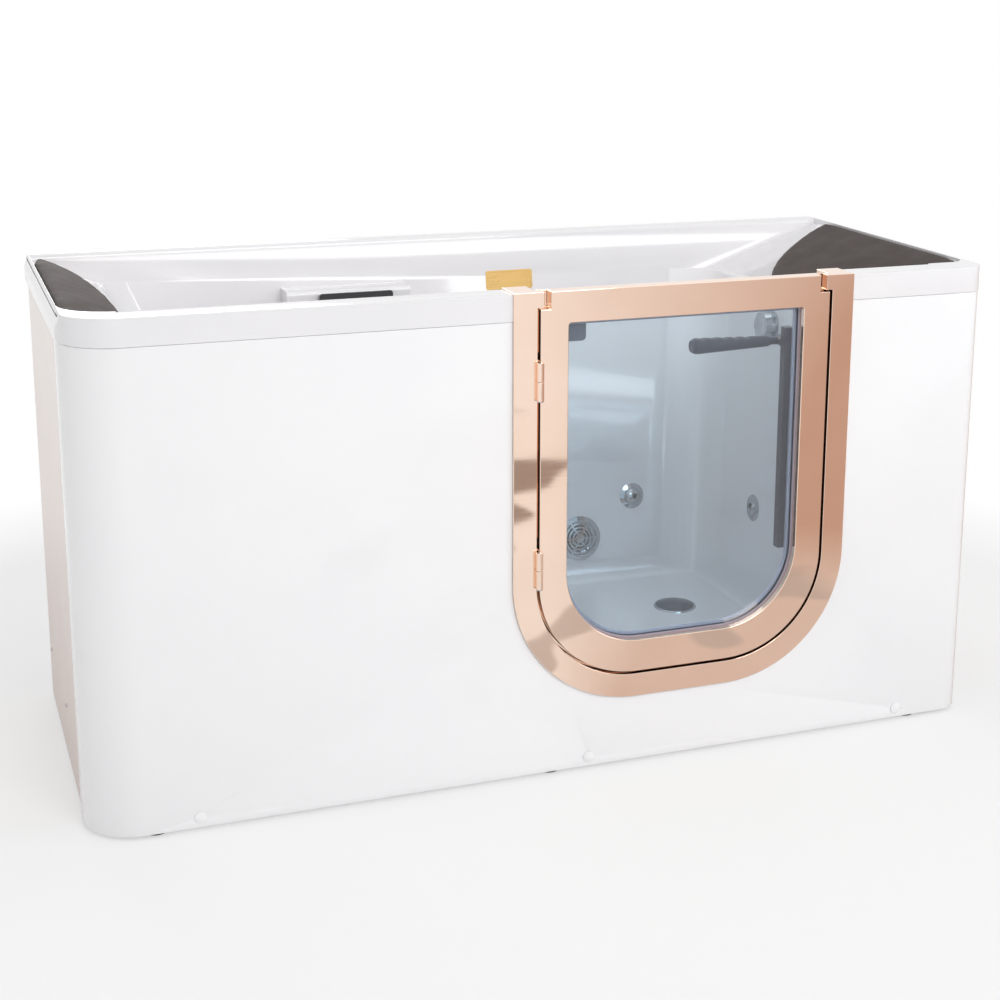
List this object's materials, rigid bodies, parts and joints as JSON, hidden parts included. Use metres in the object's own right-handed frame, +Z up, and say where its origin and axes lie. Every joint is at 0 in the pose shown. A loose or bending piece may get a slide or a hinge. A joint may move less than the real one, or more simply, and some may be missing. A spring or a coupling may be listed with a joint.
{
  "type": "jetted walk-in bathtub",
  "caption": "White acrylic walk-in jetted bath with a seat, foot well, glazed door in a polished frame, lever lock, jets, pump and steel base frame.",
  "frame": {"origin": "middle of the footprint, hinges included, on the floor under the feet", "axes": "+X along the tub to the foot well end, +Y from the door to the wall side, +Z up"},
  "size_m": [1.7, 0.7174, 0.902],
  "materials": {
    "acrylic": "glossy white sanitary acrylic",
    "apron_acrylic": "glossy white acrylic skirt",
    "end_panel": "satin white sheet",
    "frame_steel": "galvanised steel angle",
    "steel_fixings": "stainless steel",
    "foot_plastic": "black moulded foot",
    "headrest_foam": "matt grey-brown skinned foam",
    "door_metal": "polished rose gold anodised",
    "seal_rubber": "black rubber",
    "door_glass": "clear toughened glass",
    "clamp_ring": "pale grey moulding",
    "corner_pad": "grey moulding",
    "lock_black": "dark satin moulding",
    "grip_rubber": "dark grey soft grip",
    "white_pipe": "white rigid pipe",
    "chrome": "polished chrome",
    "plug_dark": "dark nickel plated",
    "pump_plastic": "black glass filled plastic",
    "motor_paint": "grey painted cast motor",
    "panel_black": "black glossy touch panel",
    "box_plastic": "pale grey enclosure"
  },
  "bodies": {
    "tub": {"tub_shell": "acrylic", "front_apron": "apron_acrylic", "end_panel_left": "end_panel", "end_panel_right": "end_panel", "base_frame": "frame_steel", "frame_uprights": "frame_steel", "seat_stand": "frame_steel", "levelling_feet": "foot_plastic", "foot_nuts": "steel_fixings", "headrest_left": "headrest_foam", "headrest_right": "headrest_foam", "apron_screw_caps": "apron_acrylic", "side_screws": "steel_fixings", "door_frame": "door_metal", "door_seal": "seal_rubber", "lock_keepers": "steel_fixings", "hinge_frame_halves": "door_metal", "hinge_pins": "steel_fixings", "jet_bodies": "white_pipe", "jet_bezels": "chrome", "suction_body": "white_pipe", "suction_cover": "chrome", "water_pipes": "white_pipe", "pipe_fittings": "white_pipe", "pump_volute": "pump_plastic", "pump_motor": "motor_paint", "pump_foot": "steel_fixings", "control_panel": "panel_black", "control_box": "box_plastic", "drain_body": "white_pipe", "drain_flange": "chrome", "overflow_body": "white_pipe", "overflow_plate": "chrome", "waste_pipes": "white_pipe", "waste_fittings": "white_pipe"},
    "door": {"door_leaf": "door_metal", "door_glass": "door_glass", "glass_gasket": "seal_rubber", "glass_clamp_ring": "clamp_ring", "clamp_screws": "steel_fixings", "glass_corner_pad": "corner_pad", "hinge_door_halves": "door_metal", "lock_rail": "lock_black", "bar_guides": "steel_fixings"},
    "lock_bar": {"slide_bar": "steel_fixings"},
    "lever": {"lock_lever": "lock_black", "lever_grip": "grip_rubber"},
    "nozzle_1": {"jet_nozzle_1": "chrome"},
    "nozzle_2": {"jet_nozzle_2": "chrome"},
    "nozzle_3": {"jet_nozzle_3": "chrome"},
    "nozzle_4": {"jet_nozzle_4": "chrome"},
    "nozzle_5": {"jet_nozzle_5": "chrome"},
    "nozzle_6": {"jet_nozzle_6": "chrome"},
    "knob": {"overflow_knob": "chrome"},
    "plug": {"drain_plug": "plug_dark"}
  },
  "joints": [
    {"name": "door_swing", "type": "hinge", "parent": "tub", "child": "door", "pos_m": [-0.0535, -0.35225, 0.573], "axis": [0, 0, -1], "range_deg": [0, 100]},
    {"name": "lever_turn", "type": "hinge", "parent": "door", "child": "lever", "pos_m": [0.446, -0.27775, 0.772], "axis": [0, -1, 0], "range_deg": [0, 90]},
    {"name": "lock_bar_lift", "type": "slide", "parent": "door", "child": "lock_bar", "axis": [0, 0, 1], "range_m": [0, 0.012]},
    {"name": "nozzle_1_turn", "type": "hinge", "parent": "tub", "child": "nozzle_1", "pos_m": [0.376, 0.24903, 0.325], "axis": [0, -0.9905, 0.1372], "range_deg": [0, 180]},
    {"name": "nozzle_2_turn", "type": "hinge", "parent": "tub", "child": "nozzle_2", "pos_m": [0.54759, 0.00875, 0.351], "axis": [-0.9976, 0, 0.0699], "range_deg": [0, 180]},
    {"name": "nozzle_3_turn", "type": "hinge", "parent": "tub", "child": "nozzle_3", "pos_m": [-0.25, 0.2899, 0.62], "axis": [0, -0.9905, 0.1372], "range_deg": [0, 180]},
    {"name": "nozzle_4_turn", "type": "hinge", "parent": "tub", "child": "nozzle_4", "pos_m": [-0.43, 0.2899, 0.62], "axis": [0, -0.9905, 0.1372], "range_deg": [0, 180]},
    {"name": "nozzle_5_turn", "type": "hinge", "parent": "tub", "child": "nozzle_5", "pos_m": [-0.63559, 0.11875, 0.65], "axis": [0.9236, 0, 0.3835], "range_deg": [0, 180]},
    {"name": "nozzle_6_turn", "type": "hinge", "parent": "tub", "child": "nozzle_6", "pos_m": [-0.63559, -0.10125, 0.65], "axis": [0.9236, 0, 0.3835], "range_deg": [0, 180]},
    {"name": "knob_turn", "type": "hinge", "parent": "tub", "child": "knob", "pos_m": [0.57448, 0.00875, 0.735], "axis": [-0.9976, 0, 0.0699], "range_deg": [0, 90]},
    {"name": "plug_lift", "type": "slide", "parent": "tub", "child": "plug", "axis": [0, 0, 1], "range_m": [0, 0.009]}
  ],
  "couplings": [
    {"joint": "lock_bar_lift", "follows": "lever_turn", "m_per_rad": 0.0076394},
    {"joint": "plug_lift", "follows": "knob_turn", "m_per_rad": 0.0057296}
  ]
}
